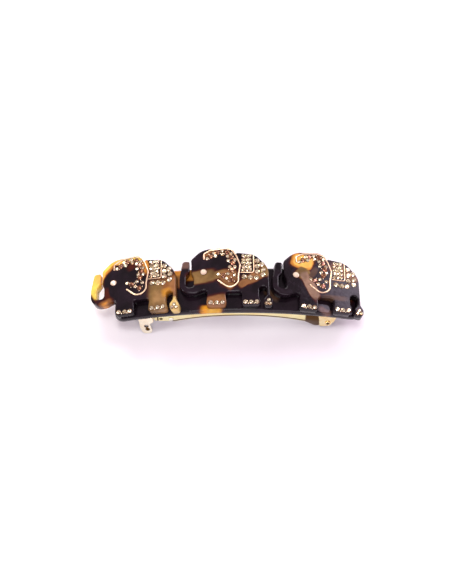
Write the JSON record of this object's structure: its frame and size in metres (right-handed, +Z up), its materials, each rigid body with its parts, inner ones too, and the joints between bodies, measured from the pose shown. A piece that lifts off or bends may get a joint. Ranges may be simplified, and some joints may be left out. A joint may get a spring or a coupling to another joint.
{
  "type": "hair barrette",
  "caption": "Curved bar hair barrette with elephant cut-outs, wire lines and set stones, on a sprung metal clip with a hinged arm and pinch tabs.",
  "frame": {"origin": "under the middle of the whole barrette, level with the tips of the catch tabs it rests on", "axes": "+X along the bar to the hinge end, +Y from the elephants' feet to their heads, +Z up through the decoration"},
  "size_m": [0.1086, 0.0284, 0.0209],
  "materials": {
    "bar_acetate": "polished dark tortoiseshell",
    "elephant_acetate": "polished tortoiseshell with amber patches",
    "gold_metal": "polished light gold plate",
    "gold_wire": "polished pinkish gold inlay",
    "clear_stone": "cut and foiled",
    "topaz_stone": "cut and foiled, brown"
  },
  "bodies": {
    "barrette": {"base_bar": "bar_acetate", "elephant_left": "elephant_acetate", "elephant_middle": "elephant_acetate", "elephant_right": "elephant_acetate", "ear_wire_left": "gold_wire", "saddle_wire_left": "gold_wire", "eye_crystal_left": "clear_stone", "ear_topaz_left": "topaz_stone", "ear_crystals_left": "clear_stone", "saddle_crystals_left": "clear_stone", "fringe_crystals_left": "clear_stone", "toe_crystals_left": "clear_stone", "tail_crystals_left": "clear_stone", "ear_wire_middle": "gold_wire", "saddle_wire_middle": "gold_wire", "eye_crystal_middle": "clear_stone", "ear_topaz_middle": "topaz_stone", "ear_crystals_middle": "clear_stone", "saddle_crystals_middle": "clear_stone", "fringe_crystals_middle": "clear_stone", "toe_crystals_middle": "clear_stone", "tail_crystals_middle": "clear_stone", "ear_wire_right": "gold_wire", "saddle_wire_right": "gold_wire", "eye_crystal_right": "clear_stone", "ear_topaz_right": "topaz_stone", "ear_crystals_right": "clear_stone", "saddle_crystals_right": "clear_stone", "fringe_crystals_right": "clear_stone", "toe_crystals_right": "clear_stone", "tail_crystals_right": "clear_stone", "clip_base_plate": "gold_metal", "hinge_pin": "gold_metal", "catch_plate": "gold_metal", "catch_rivet": "gold_metal", "bow_bracket": "gold_metal", "bow_pin": "gold_metal"},
    "arm": {"clip_arm": "gold_metal", "arm_bosses": "gold_metal"},
    "front_pinch_tab": {"front_tab": "gold_metal"},
    "rear_pinch_tab": {"rear_tab": "gold_metal"},
    "bow": {"tension_bow": "gold_metal"}
  },
  "joints": [
    {"name": "arm_hinge", "type": "hinge", "parent": "barrette", "child": "arm", "pos_m": [0.04066, -0.00806, 0.00487], "axis": [0, -1, 0], "range_deg": [0, 85]},
    {"name": "front_tab_pinch", "type": "hinge", "parent": "barrette", "child": "front_pinch_tab", "pos_m": [-0.03224, -0.01211, 0.00912], "axis": [0.9747, 0, 0.2236], "range_deg": [0, 8], "stiffness_Nm_per_rad": 0.5},
    {"name": "rear_tab_pinch", "type": "hinge", "parent": "barrette", "child": "rear_pinch_tab", "pos_m": [-0.03224, -0.00401, 0.00912], "axis": [-0.9747, 0, -0.2236], "range_deg": [0, 8], "stiffness_Nm_per_rad": 0.5},
    {"name": "bow_flex", "type": "hinge", "parent": "barrette", "child": "bow", "pos_m": [0.03436, -0.00806, 0.00972], "axis": [0, -1, 0], "range_deg": [0, 2.5], "stiffness_Nm_per_rad": 2}
  ]
}
